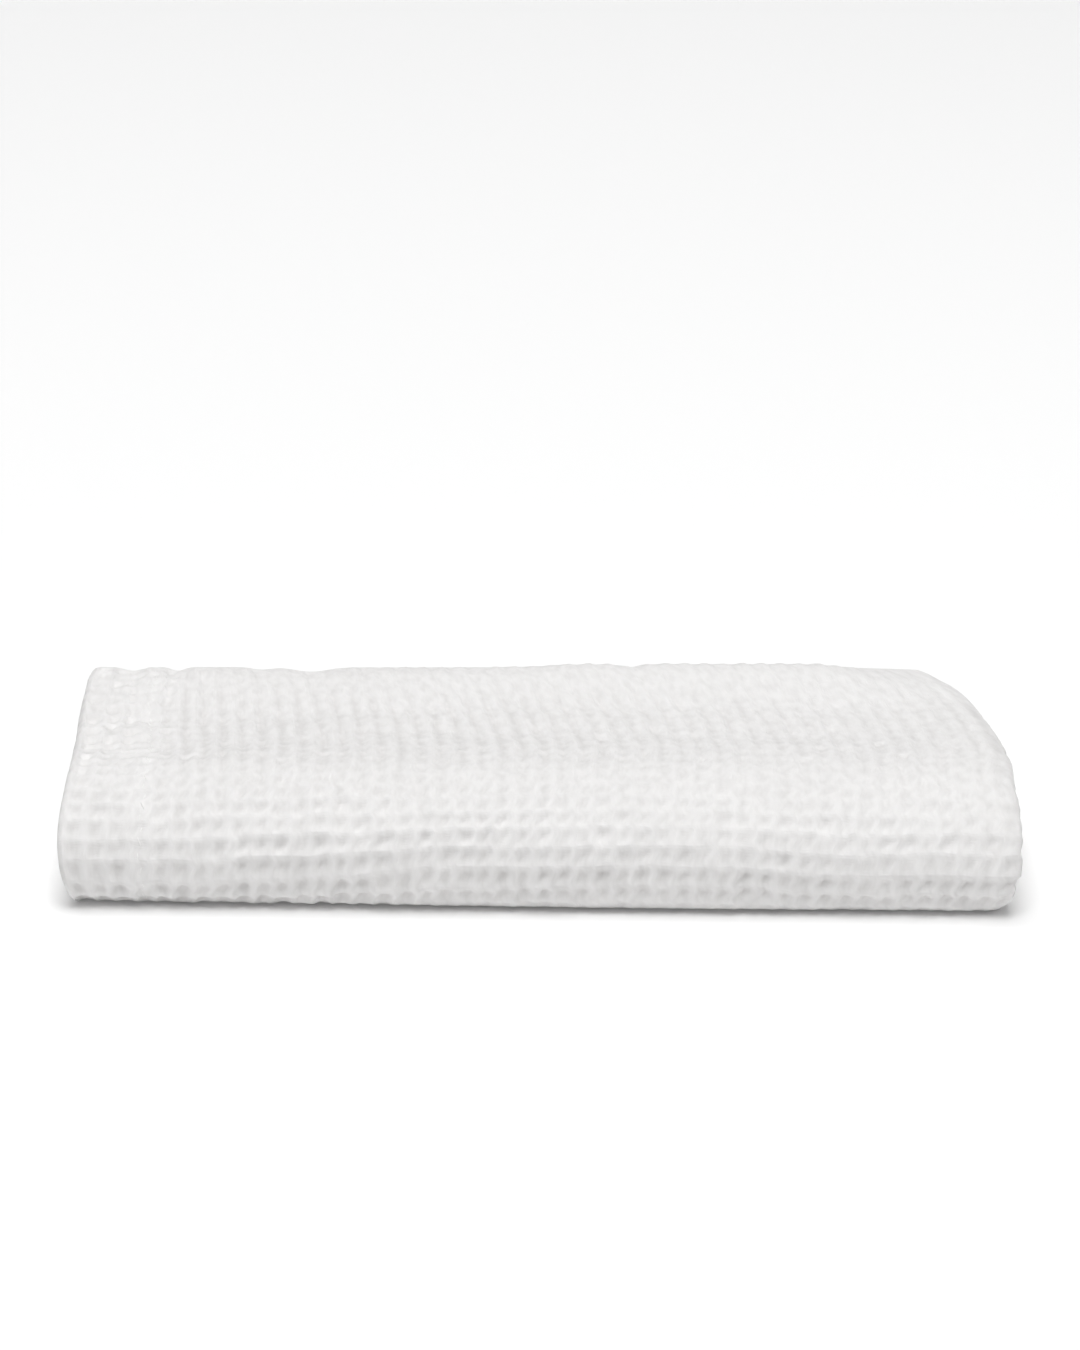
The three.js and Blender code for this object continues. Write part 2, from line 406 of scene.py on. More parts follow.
@dataclass(frozen=True)
class HandFolding:
    """How the hand-folded towel departs from an even package. Places are from the middle of the package."""

    length: float
    depth: float
    height_changes: tuple[HeightChange, ...] = (
        HeightChange("trough behind the crown", 0.001, 0.005, 0.014, -0.06),
        HeightChange("bowed trough in front of the ridge", 0.016, 0.008, 0.0075, -0.045),
        HeightChange("ridge near the back", 0.041, 0.0, 0.009, 0.038),
        HeightChange("rounded back edge", 0.057, 0.0, 0.007, -0.1),
    )
    bow_middle: float = 0.031
    right_fade: float = 0.04
    droop_start: float = 0.086
    droop: float = 0.075
    front_skew: float = 0.007
    lean_start: float = -0.015
    lean_power: float = 1.5
    lean: float = 0.013
    weave_bow: float = 0.005
    corner_reach: float = 0.045
    corner_power: float = 8.0
    left_corner: float = 0.003
    right_corner: float = 0.006
    bulge_height: float = 0.02
    bulge: float = 0.0018
    bulge_at_floor: float = -0.0026
    bulge_at_top: float = -0.0007
    bulge_power: float = 5.0
    weave_shift_from: float = 0.02
    weave_shift: float = 0.004
    waves: tuple[Wave, ...] = (
        Wave(0.061, 0.09, 0.4, 0.008, 0.0005),
        Wave(0.034, 0.047, 2.1, 0.006, 0.00035),
    )
    creases: tuple[Crease, ...] = (
        Crease("higher ridge at the back right", (0.02, 0.044), (0.091, 0.042), 0.009, 0.03),
        Crease("first dip in the back edge", (-0.1128, 0.038), (-0.1128, 0.06), 0.004, -0.035),
        Crease("second dip in the back edge", (-0.098, 0.04), (-0.098, 0.06), 0.003, -0.035),
        Crease("third dip in the back edge", (-0.0715, 0.038), (-0.0715, 0.06), 0.004, -0.022),
        Crease("fourth dip in the back edge", (-0.0565, 0.036), (-0.0565, 0.06), 0.007, -0.04),
        Crease("fifth dip in the back edge", (0.0355, 0.038), (0.0355, 0.06), 0.003, -0.03),
        Crease("ridge over the tucked hem", (-0.122, 0.004), (-0.1, 0.002), 0.005, 0.02),
        Crease("fold line across the hem", (-0.122, -0.009), (-0.095, -0.013), 0.005, -0.02),
    )

    def shift_across(self, x: Values) -> Values:
        """How far forward the weave and both selvedges lie, which grows towards the hemmed ends."""
        return self.weave_shift * eased(x, self.weave_shift_from, -self.length / 2)

    def _height_share(self, x: Values, y: Values, to_back: Values) -> Values:
        """How high the towel is at each place.

        Args:
            x: place along the package.
            y: place across the package.
            to_back: how far the place is on the way to the back, from 0 to 1.

        Returns:
            The height as a share of the even package's.
        """
        height = 1.0 + sum(wave.height * wave.at(x, y) for wave in self.waves)
        bow = arched((x - self.bow_middle) / self.length + 0.5)
        before_end = eased(x, self.length / 2, self.length / 2 - self.right_fade)
        for change in self.height_changes:
            bump = change.share * hill(y - change.centre - change.bow * bow, change.reach)
            height = height + bump * before_end
        for crease in self.creases:
            height = height + crease.at(x, y)
        return height - self.droop * share_of(x, self.droop_start, self.length / 2) * to_back

    def _end_bulge(self, z: Values, full_height: float) -> Values:
        """How far both ends stand out, which is most at the front fold's widest.

        Args:
            z: height over the floor.
            full_height: height of the even package.

        Returns:
            The distance at each height.
        """
        below = z < self.bulge_height
        limit = np.where(below, self.bulge_at_floor, self.bulge_at_top)
        away_below = share_of(z, self.bulge_height, 0.0)
        away_above = share_of(z, self.bulge_height, full_height)
        return blended(self.bulge, limit, np.where(below, away_below, away_above) ** 2)

    def settle(self, x: Values, y: Values, z: Values, full_height: float) -> np.ndarray:
        """Moves points of the even package to where they lie on the hand-folded towel.

        Args:
            x: place along the package.
            y: place across the package.
            z: height over the floor.
            full_height: height of the even package.

        Returns:
            The moved points, with X, Y and Z in the last axis.
        """
        to_right = x / self.length + 0.5
        to_back = share_of(y, self.lean_start, self.depth / 2)
        inner = self.length / 2 - self.corner_reach
        right = self.right_corner * eased(x, inner, self.length / 2)
        left = self.left_corner * eased(-x, inner, self.length / 2)
        leant = to_back**self.lean_power
        moved_x = x + (left - right) * to_back**self.corner_power - self.lean * to_right * leant
        moved_x = moved_x - self.weave_bow * arched(to_right) * leant
        moved_x = moved_x + self._end_bulge(z, full_height) * (2.0 * to_right - 1.0) ** self.bulge_power
        moved_y = y + self.front_skew * (0.5 - to_right) * (0.5 - y / self.depth)
        edge_x = sum(wave.edge * wave.at(x, y) for wave in self.waves)
        edge_y = sum(wave.edge * wave.at(y, x) for wave in self.waves)
        moved_z = z * self._height_share(x, y, to_back)
        return np.stack([moved_x + edge_x, moved_y + edge_y, moved_z], axis=-1)


class Draw(Enum):
    """What is left to chance in the weave. Each draws from random values of its own."""

    CELL_DEPTH = 0
    RIDGE_DROP = 1
    CROSSING_ALONG = 2
    CROSSING_ACROSS = 3
    SLOW_ALONG = 4
    SLOW_ACROSS = 5
    ROW_RIDGE = 6
    COLUMN_RIDGE = 7
    PATCH_DEPTH = 8


@dataclass(frozen=True)
class ReliefChange:
    """Rows with a flatter or fuller weave: how far they lie past the start of a stretch of the fold."""

    place: str
    part: str
    past_start: float
    reach: float
    share: float


@dataclass(frozen=True)
class HoneycombWeave:
    """The honeycomb weave: square recesses between ridges, uneven as washed linen is.

    Columns of cells are counted along the cloth and rows across it. On top of the folded towel the cells
    are drawn out into furrows between strong columns.
    """

    cells_between_seams: int = 87
    row_pitch: float = 0.00515
    first_ridge: float = 0.0006
    row_slip: float = 0.0018
    slip_start: float = 28.0
    slip_full: float = 39.0
    recess: float = 0.00136
    # How strong the painted shade in the recesses is in the square cells, growing to full in the furrows.
    square_painted_shade: float = 0.88
    lopsidedness: float = 0.75
    ridge_sharpness: float = 1.6
    ridge_blend: float = 0.6
    column_ridge: float = 0.78
    row_ridge: float = 0.66
    ridge_spread: float = 0.35
    furrow_sharpness: float = 2.2
    furrow_row_ridge: float = 0.18
    furrow_depth: float = 0.75
    furrow_start: float = -0.005
    furrow_full: float = 0.01
    furrow_past_hem: float = 0.01
    furrow_straightness: float = 0.85
    relief_changes: tuple[ReliefChange, ...] = (
        ReliefChange("full rows low in front", "front low turn", 0.014, 0.005, 0.36),
        ReliefChange("smoother rows on the crown", "top layer", -0.001, 0.009, -0.15),
        ReliefChange("tight rows over the ridge near the back", "top layer", 0.064, 0.012, -0.45),
    )
    relief_at_hem: float = 1.15
    relief_at_turn: float = 0.84
    cell_spread: float = 0.4
    patch_spread: float = 0.18
    patch_cells: float = 3.5
    ridge_drop: float = 0.0005
    drop_cells: float = 1.25
    slant: float = 0.0004
    crossing_wander: float = 0.0004
    slow_wander: float = 0.0008
    slow_cells: float = 5.0
    straight_rows: float = 2.0
    hem_softness: float = 0.95
    soft_before_seam: float = 0.001
    soft_past_seam: float = 0.003
    pressed_softness: float = 0.15
    pressed_fully: float = 0.0035
    pressed_reach: float = 0.0105
    seam_softness: float = 0.55
    seam_reach: float = 0.0026
    flat_selvedge: float = 0.00175
    full_from_selvedge: float = 0.0056
    seed: int = 31

    def column_pitch(self, cloth: Cloth) -> float:
        """Size of a cell along the cloth, so that both seams run down the middle of a cell."""
        return (cloth.length - 2 * cloth.hem_depth) / self.cells_between_seams

    def cells(self, along: Values, across: Values, cloth: Cloth) -> tuple[Values, Values]:
        """Finds places in the weave.

        Args:
            along: distance from the first hemmed end, along the cloth.
            across: distance from the tucked selvedge, across the outer layer.
            cloth: sizes of the flat cloth.

        Returns:
            Column and row at each place, in cells, with whole numbers on the ridges.
        """
        column = (along - cloth.hem_depth) / self.column_pitch(cloth) + 0.5
        row = (across - self.first_ridge) / self.row_pitch
        return np.broadcast_arrays(column, row)

    def _chance(self, draw: Draw, column: Values, row: Values) -> Values:
        """Smooth random numbers from -1 to 1, one for each whole number of column and row."""
        return lattice_noise(column, row, self.seed + draw.value)

    def _ridge(self, place: Values, sharpness: Values) -> Values:
        """Height of a ridge at each whole number, with the lowest place before the middle between two."""
        part = (place - np.floor(place)) ** self.lopsidedness
        return 1.0 - np.sin(math.pi * part) ** sharpness

    def recess_share(self, column: Values, row: Values, furrow: Values) -> Values:
        """How deep a place lies in its cell.

        Args:
            column: place in the weave along the cloth, in cells.
            row: place in the weave across the cloth, in cells.
            furrow: how far the cells are drawn out into furrows.

        Returns:
            A share of the cell's depth: 0 where two full ridges cross, and 1 at the lowest place.
        """
        sharpness = blended(self.ridge_sharpness, self.furrow_sharpness, furrow)
        row_height = blended(self.row_ridge, self.furrow_row_ridge, furrow)
        uneven = 1.0 + self.ridge_spread * self._chance(Draw.ROW_RIDGE, np.floor(column), np.rint(row))
        rows = np.minimum(row_height * uneven, 1.0) * self._ridge(-row, sharpness)
        column_height = blended(self.column_ridge, 1.0, furrow)
        uneven = 1.0 + self.ridge_spread * self._chance(Draw.COLUMN_RIDGE, np.rint(column), np.floor(row))
        columns = np.minimum(column_height * uneven, 1.0) * self._ridge(column, sharpness)
        blend = 1.0 / self.ridge_blend
        ridges = (columns**blend + rows**blend) ** self.ridge_blend
        return 1.0 - np.minimum(ridges, 1.0)

    def relief(self, column: Values, row: Values, furrow: Values) -> Values:
        """How far the cloth's face lies below its highest ridges.

        Args:
            column: place in the weave along the cloth, in cells.
            row: place in the weave across the cloth, in cells.
            furrow: how far the cells are drawn out into furrows.

        Returns:
            The distance, where the relief is full.
        """
        cell = self._chance(Draw.CELL_DEPTH, np.floor(column), np.floor(row))
        patch = self._chance(Draw.PATCH_DEPTH, column / self.patch_cells, row / self.patch_cells)
        depth = self.recess * blended(1.0, self.furrow_depth, furrow)
        depth = depth * (1.0 + self.cell_spread * cell + self.patch_spread * patch)
        drop = 0.5 + 0.5 * self._chance(Draw.RIDGE_DROP, column / self.drop_cells, row / self.drop_cells)
        return depth * self.recess_share(column, row, furrow) + self.ridge_drop * drop

    def wander(self, column: Values, row: Values, furrow: Values) -> tuple[Values, Values]:
        """How far threads stray from straight lines, which is less where the cloth is furrowed.

        Args:
            column: place in the weave along the cloth, in cells.
            row: place in the weave across the cloth, in cells.
            furrow: how far the cells are drawn out into furrows.

        Returns:
            The distances along and across the cloth.
        """
        loose = blended(1.0, 1.0 - self.furrow_straightness, furrow)
        slow_column, slow_row = column / self.slow_cells, row / self.slow_cells

        def strayed(crossing: Draw, slow: Draw) -> Values:
            """How far threads stray in one direction, from crossing to crossing and slowly."""
            quick = self.crossing_wander * self._chance(crossing, column, row) * loose
            return quick + self.slow_wander * self._chance(slow, slow_column, slow_row)

        slant = -self.slant * np.sin(2 * math.pi * row) * loose
        slip = -self.row_slip * eased(column, self.slip_start, self.slip_full)
        stray_along = strayed(Draw.CROSSING_ALONG, Draw.SLOW_ALONG)
        stray_across = strayed(Draw.CROSSING_ACROSS, Draw.SLOW_ACROSS)
        return stray_along + slant, stray_across + slip


class TowelShape:
    """The surface of the folded cloth: where each place of it lies, at any depth in its thickness."""

    box_steps: int = 400

    def __init__(self, cloth: Cloth, fold: FoldSizes, folding: HandFolding, weave: HoneycombWeave) -> None:
        """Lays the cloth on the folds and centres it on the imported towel.

        Args:
            cloth: sizes of the flat cloth.
            fold: sizes of the fold.
            folding: how the folded package is uneven.
            weave: the weave and its relief.
        """
        self.cloth = cloth
        self.folding = folding
        self.weave = weave
        self.path = FoldPath(fold, cloth)
        self.offset = fold.layer_offset(cloth)
        self.straight = (cloth.length - math.pi * self.offset) / 2
        self.turn_end = cloth.length - self.straight
        self.origin = np.zeros(3)
        packed_corners = (np.array(corner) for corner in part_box(CAD_NODE))
        self.origin = self._plain_middle() - underside_middle(*packed_corners)

    def _plain_middle(self) -> np.ndarray:
        """Middle of the underside of the cloth's box, with the cloth's faces left smooth.

        Returns:
            The point.
        """
        along = np.linspace(0.0, self.cloth.length, self.box_steps)
        across = np.linspace(0.0, self.path.across_end, self.box_steps)[:, None]
        points = self.place(along, across, self.cloth.thickness / 2).reshape(-1, 3)
        return underside_middle(points.min(axis=0), points.max(axis=0))

    def place(self, along: Values, across: Values, depth: Values) -> np.ndarray:
        """Finds points of the cloth in the part's frame.

        Args:
            along: distance from the first hemmed end, along the cloth.
            across: distance from the tucked selvedge, across the outer layer.
            depth: height over the cloth's middle, towards its right side.

        Returns:
            The points, with X, Y and Z in the last axis.
        """
        angle = np.clip((along - self.straight) / self.offset, 0.0, math.pi)
        flat = np.minimum(self.cloth.from_hem(along), self.straight)
        x = flat + (self.offset + depth) * np.sin(angle) - self.folding.length / 2
        normal = (self.offset + depth) * np.cos(angle)
        distance = self.path.distance_at(across) - self.folding.shift_across(x)
        y, z, heading = self.path.locate(distance)
        y = y - normal * np.sin(heading)
        z = z + normal * np.cos(heading)
        return self.folding.settle(x, y, z, self.path.full_height) - self.origin

    def _calm_share(self, along: Values, across: Values) -> Values:
        """How freely threads may stray.

        Args:
            along: distance from the first hemmed end, along the cloth.
            across: distance from the tucked selvedge, across the outer layer.

        Returns:
            The share at each place: none on the four edges of the cloth, and 1 well inside.
        """
        straight = self.weave.straight_rows * self.weave.row_pitch
        inside_selvedges = eased(self.path.from_selvedge(across), 0.0, straight)
        return inside_selvedges * eased(self.cloth.from_hem(along), 0.0, self.cloth.hem_depth)

    def furrow_share(self, along: Values, across: Values) -> Values:
        """How far the cells are drawn out into furrows: fully on top between the hems, and not in front.

        Args:
            along: distance from the first hemmed end, along the cloth.
            across: distance from the tucked selvedge, across the outer layer.

        Returns:
            The share at each place, from 0 to 1.
        """
        start = self.path.across_start("crown") + self.weave.furrow_start
        full = self.path.across_start("top layer") + self.weave.furrow_full
        hem = self.cloth.hem_depth
        beyond_hem = eased(self.cloth.from_hem(along), hem, hem + self.weave.furrow_past_hem)
        return beyond_hem * eased(across, start, full)

    def _hem_relief(self, along: Values) -> Values:
        """How much of the relief shows for the hems' sake: a little less on them, and least at the seam.

        Args:
            along: distance from the first hemmed end, along the cloth.

        Returns:
            The share at each place.
        """
        weave, seam = self.weave, self.cloth.hem_depth
        from_hem = self.cloth.from_hem(along)
        past_seam = eased(from_hem, seam - weave.soft_before_seam, seam + weave.soft_past_seam)
        at_seam = hill(from_hem - seam, weave.seam_reach)
        return blended(weave.hem_softness, 1.0, past_seam) * blended(1.0, weave.seam_softness, at_seam)

    def _underside_relief(self, across: Values) -> Values:
        """How much of the relief shows for the floor's sake: little where the towel lies on it.

        Args:
            across: distance from the tucked selvedge, across the outer layer.

        Returns:
            The share at each place.
        """
        from_back = across - self.path.across_start("bottom layer")
        from_front = self.path.across_start("front low turn") - across
        inside = np.minimum(from_back, from_front)
        pressed = eased(inside, -self.weave.pressed_reach, -self.weave.pressed_fully)
        return blended(1.0, self.weave.pressed_softness, pressed)

    def relief_share(self, along: Values, across: Values) -> Values:
        """How much of the weave's relief shows.

        Args:
            along: distance from the first hemmed end, along the cloth.
            across: distance from the tucked selvedge, across the outer layer.

        Returns:
            The share at each place: less on the hems, underneath and towards the end fold, none on the flat
            selvedges, and more or less in the rows that have a change of their own.
        """
        weave = self.weave
        to_turn = self.cloth.from_hem(along) / (self.cloth.length / 2)
        full = blended(weave.relief_at_hem, weave.relief_at_turn, to_turn)
        for change in weave.relief_changes:
            past = across - self.path.across_start(change.part) - change.past_start
            full = full + change.share * hill(past, change.reach)
        inside = eased(self.path.from_selvedge(across), weave.flat_selvedge, weave.full_from_selvedge)
        return self._hem_relief(along) * self._underside_relief(across) * full * inside

    def surface(self, along: Values, across: Values, depth: Values, modelled: Values) -> np.ndarray:
        """Finds points of either side of the cloth, with the weave's relief where it is modelled.

        Args:
            along: distance from the first hemmed end, along the cloth.
            across: distance from the tucked selvedge, across the outer layer.
            depth: height of the smooth side over the cloth's middle.
            modelled: share of the relief that is real shape.

        Returns:
            The points, with X, Y and Z in the last axis.
        """
        column, row = self.weave.cells(along, across, self.cloth)
        furrow = self.furrow_share(along, across)
        relief = self.weave.relief(column, row, furrow) * self.relief_share(along, across) * modelled
        stray_along, stray_across = self.weave.wander(column, row, furrow)
        loose = self._calm_share(along, across)
        thickness = self.cloth.selvedge_share(self.path.from_selvedge(across))
        return self.place(along + stray_along * loose, across + stray_across * loose,
                          (depth - relief) * thickness)


class Grain(NamedTuple):
    """Size of a noise: lumps to the metre, and how many finer layers it has."""

    scale: float
    detail: float


class Mixing(Enum):
    """What a Mix node mixes, with the places of its factor and both values, and of its result."""

    NUMBERS = ("FLOAT", (0, 2, 3), 0)
    COLOURS = ("RGBA", (0, 6, 7), 2)


class NodeBench:
    """Lays out the nodes of one material."""

    def __init__(self, name: str) -> None:
        """Starts a material with its shader and output.

        Args:
            name: the material's name.
        """
        self.material = bpy.data.materials.new(name)
        self.material.use_nodes = True
        self.tree = self.material.node_tree
        self.tree.nodes.clear()
        self.shader = self.tree.nodes.new("ShaderNodeBsdfPrincipled")
        output = self.tree.nodes.new("ShaderNodeOutputMaterial")
        self.fill(output, {"Surface": self.shader.outputs["BSDF"]})

    def fill(self, node: bpy.types.Node, inputs: Inputs) -> None:
        """Fills a node's sockets.

        Args:
            node: the node.
            inputs: a number, a colour or another node's socket for each socket, by name or place.
        """
        for place, filling in inputs.items():
            if isinstance(filling, Socket):
                self.tree.links.new(filling, node.inputs[place])
            else:
                node.inputs[place].default_value = filling

    def add(self, kind: str, output: str | int, inputs: Inputs, **settings: str) -> Socket:
        """Adds a node.

        Args:
            kind: Blender's name for the kind of node.
            output: the socket that is wanted, by name or place.
            inputs: what goes into its sockets.
            **settings: its settings by name.

        Returns:
            The wanted socket.
        """
        node = self.tree.nodes.new(kind)
        for setting, value in settings.items():
            setattr(node, setting, value)
        self.fill(node, inputs)
        return node.outputs[output]

    def math(self, operation: str, *values: float | Socket) -> Socket:
        """The result of a calculation on numbers or sockets."""
        return self.add("ShaderNodeMath", "Value", dict(enumerate(values)), operation=operation)

    def swing(self, pattern: Socket, amount: float, middle: float) -> Socket:
        """A pattern from 0 to 1 made to swing by an amount about a middle."""
        return self.math("MULTIPLY_ADD", pattern, amount, middle - amount / 2)

    def attribute(self, name: str) -> Socket:
        """A number that the mesh holds at each point."""
        return self.add("ShaderNodeAttribute", "Fac", {}, attribute_name=name)

    def noise(self, vector: Socket, grain: Grain) -> Socket:
        """Noise on a vector, from 0 to 1."""
        inputs = {"Vector": vector, "Scale": grain.scale, "Detail": grain.detail}
        return self.add("ShaderNodeTexNoise", "Fac", inputs)

    def mixed(self, mixing: Mixing, factor: Socket, first: Filling, second: Filling) -> Socket:
        """Goes from one value to another as the factor goes from 0 to 1.

        Args:
            mixing: what kind of values they are.
            factor: how far the mixture is on the way.
            first: the value where the factor is 0.
            second: the value where the factor is 1.

        Returns:
            The mixture.
        """
        data_type, places, result = mixing.value
        inputs = dict(zip(places, (factor, first, second)))
        return self.add("ShaderNodeMix", result, inputs, data_type=data_type)

    def colours(self, factor: Socket, first: Colour, second: Colour) -> Socket:
        """A colour that goes from the first to the second as the factor goes from 0 to 1."""
        return self.mixed(Mixing.COLOURS, factor, (*first, 1.0), (*second, 1.0))


class WeaveChart:
    """The cloth's own map in a material: its vector, and the places along and across the weave in cells."""

    def __init__(self, bench: NodeBench, weave: HoneycombWeave, cloth: Cloth) -> None:
        """Reads the map.

        Args:
            bench: where the material is laid out.
            weave: the weave that the map is counted in.
            cloth: sizes of the flat cloth.
        """
        self.vector = bench.add("ShaderNodeUVMap", "UV", {}, uv_map=WEAVE_MAP)
        along, across = (bench.add("ShaderNodeSeparateXYZ", axis, {"Vector": self.vector}) for axis in "XY")
        width, height = weave.column_pitch(cloth), weave.row_pitch
        column = bench.math("MULTIPLY_ADD", along, 1 / width, 0.5 - cloth.hem_depth / width)
        row = bench.math("MULTIPLY_ADD", across, 1 / height, -weave.first_ridge / height)
        self.places = (column, row)


@dataclass(frozen=True)
class LinenFinish:
    """Washed off-white linen: yarns that run along the ridges, slubs, fine crinkles, a soft bloom, and
    painted shade in its recesses and crinkle hollows.
    """

    name: str = "washed_linen"
    colour: Colour = (0.874, 0.865, 0.86)
    # Colour of the painted shade in the recesses and crinkle hollows. The random slubs also lean towards it.
    painted_shade_and_slub_colour: Colour = (0.74, 0.728, 0.72)
    # How closely the painted shade keeps to the deepest part of each recess.
    painted_shade_sharpness: float = 2.5
    even_shade: float = 0.12
    slub_shade: float = 0.24
    slub_grain: Grain = Grain(60.0, 3.0)
    # Painted shade and light: how far the colour darkens in the crinkles' hollows and lightens on their
    # tops.
    painted_crinkle_shade: float = -1.4
    roughness: float = 0.92
    sheen: float = 0.12
    sheen_roughness: float = 0.6
    yarns_per_cell: float = 7.0
    yarn_height: float = 0.06
    yarn_stray: float = 5.0
    stray_grain: Grain = Grain(420.0, 2.0)
    crossing_contrast: float = 6.0
    crossing_softness: float = 0.1
    fibre_height: float = 0.06
    fibre_grain: Grain = Grain(2600.0, 3.0)
    crinkle_height: float = 0.35
    crinkle_grain: Grain = Grain(520.0, 1.0)
    crinkle_stretch: tuple[float, float, float] = (1.0, 0.5, 1.0)
    hidden_cell_height: float = 0.8
    bump_strength: float = 0.6
    millimetre: float = 0.001

    def _yarns(self, bench: NodeBench, chart: WeaveChart) -> Socket:
        """Lays out rounded yarns side by side, which run along whichever ridge is nearer.

        Args:
            bench: where the material is laid out.
            chart: the cloth's map.

        Returns:
            The yarns' pattern, from 0 to 1.
        """
        stray = bench.math("MULTIPLY", bench.noise(chart.vector, self.stray_grain), self.yarn_stray)
        rounds = self.yarns_per_cell * math.pi
        turns = (bench.math("MULTIPLY_ADD", place, rounds, stray) for place in chart.places)
        upright, level = (bench.math("ABSOLUTE", bench.math("SINE", turn)) for turn in turns)
        from_ridges = (bench.math("PINGPONG", place, 0.5) for place in chart.places)
        row_is_nearer = bench.math("SUBTRACT", *from_ridges)
        level_share = bench.math("MULTIPLY_ADD", row_is_nearer, self.crossing_contrast, 0.5)
        level_share = bench.math("SMOOTH_MAX", level_share, 0.0, self.crossing_softness)
        level_share = bench.math("SMOOTH_MIN", level_share, 1.0, self.crossing_softness)
        return bench.mixed(Mixing.NUMBERS, level_share, upright, level)

    def _height(self, bench: NodeBench, chart: WeaveChart, sharpness: float, crinkles: Socket) -> Socket:
        """Adds up the fine shape of the face: yarns, fibres, crinkles, and cells that aren't real shape.

        Args:
            bench: where the material is laid out.
            chart: the cloth's map.
            sharpness: how sharp the ridges between the cells are.
            crinkles: the crinkles' pattern.

        Returns:
            The height in millimetres.
        """
        waves = (bench.math("SINE", bench.math("MULTIPLY", place, math.pi)) for place in chart.places)
        lobe = bench.math("ABSOLUTE", bench.math("MULTIPLY", *waves))
        lobe = bench.math("POWER", lobe, sharpness)
        hidden = bench.math("SUBTRACT", 1.0, bench.attribute(MODELLED))
        height = bench.math("MULTIPLY", bench.math("MULTIPLY", lobe, hidden), -self.hidden_cell_height)
        patterns = (
            (self._yarns(bench, chart), self.yarn_height),
            (bench.noise(chart.vector, self.fibre_grain), self.fibre_height),
            (crinkles, self.crinkle_height),
        )
        for pattern, most in patterns:
            height = bench.math("MULTIPLY_ADD", pattern, most, height)
        return height

    def build(self, weave: HoneycombWeave, cloth: Cloth) -> bpy.types.Material:
        """Makes the material, which follows the weave through the cloth's own map.

        Args:
            weave: the weave and its relief.
            cloth: sizes of the flat cloth.

        Returns:
            The material, with its yarns as bump and painted shade in its colour.
        """
        bench = NodeBench(self.name)
        chart = WeaveChart(bench, weave, cloth)
        drawn_out = bench.add("ShaderNodeVectorMath", "Vector", {0: chart.vector, 1: self.crinkle_stretch},
                              operation="MULTIPLY")
        crinkles = bench.noise(drawn_out, self.crinkle_grain)
        height = self._height(bench, chart, weave.ridge_sharpness, crinkles)
        bump = {"Strength": self.bump_strength, "Distance": self.millimetre, "Height": height}
        # Painted shade: the colour darkens towards the deepest part of each recess, where shade falls. The
        # slubs add real tone that differs at random.
        painted_recess_shade = bench.math("POWER", bench.attribute(PAINTED_SHADE_ATTRIBUTE), self.painted_shade_sharpness)
        slubs = bench.swing(bench.noise(chart.vector, self.slub_grain), self.slub_shade, self.even_shade)
        shade = bench.math("ADD", painted_recess_shade, slubs)
        # Painted shade in the crinkles' hollows and painted light on their tops.
        shade = bench.math("ADD", shade, bench.swing(crinkles, self.painted_crinkle_shade, 0.0))
        bench.fill(bench.shader, {
            "Base Color": bench.colours(shade, self.colour, self.painted_shade_and_slub_colour),
            "Normal": bench.add("ShaderNodeBump", "Normal", bump),
            "Roughness": self.roughness,
            "Sheen Weight": self.sheen,
            "Sheen Roughness": self.sheen_roughness,
        })
        return bench.material


@dataclass(frozen=True)
class ThreadFinish:
    """Fine white sewing thread."""

    name: str = "sewing_thread"
    colour: Colour = (0.93, 0.925, 0.915)
    # Colour of the painted shade between the thread's plies.
    shade: Colour = (0.88, 0.875, 0.865)
    roughness: float = 0.7
    sheen: float = 0.1
    ply_scale: float = 1500.0

    def build(self) -> bpy.types.Material:
        """Makes the thread's material.

        Returns:
            The material, with the shade between its plies painted as darker bands.
        """
        bench = NodeBench(self.name)
        place = bench.add("ShaderNodeTexCoord", "Object", {})
        plies = bench.add("ShaderNodeTexWave", "Fac", {"Vector": place, "Scale": self.ply_scale},
                          bands_direction="DIAGONAL")
        bench.fill(bench.shader, {
            "Base Color": bench.colours(plies, self.shade, self.colour),
            "Roughness": self.roughness,
            "Sheen Weight": self.sheen,
        })
        return bench.material


class LoopPoint(NamedTuple):
    """A point on the line round the flat cloth, along its right side and back along its wrong side."""

    along: float
    depth: float
    modelled: float


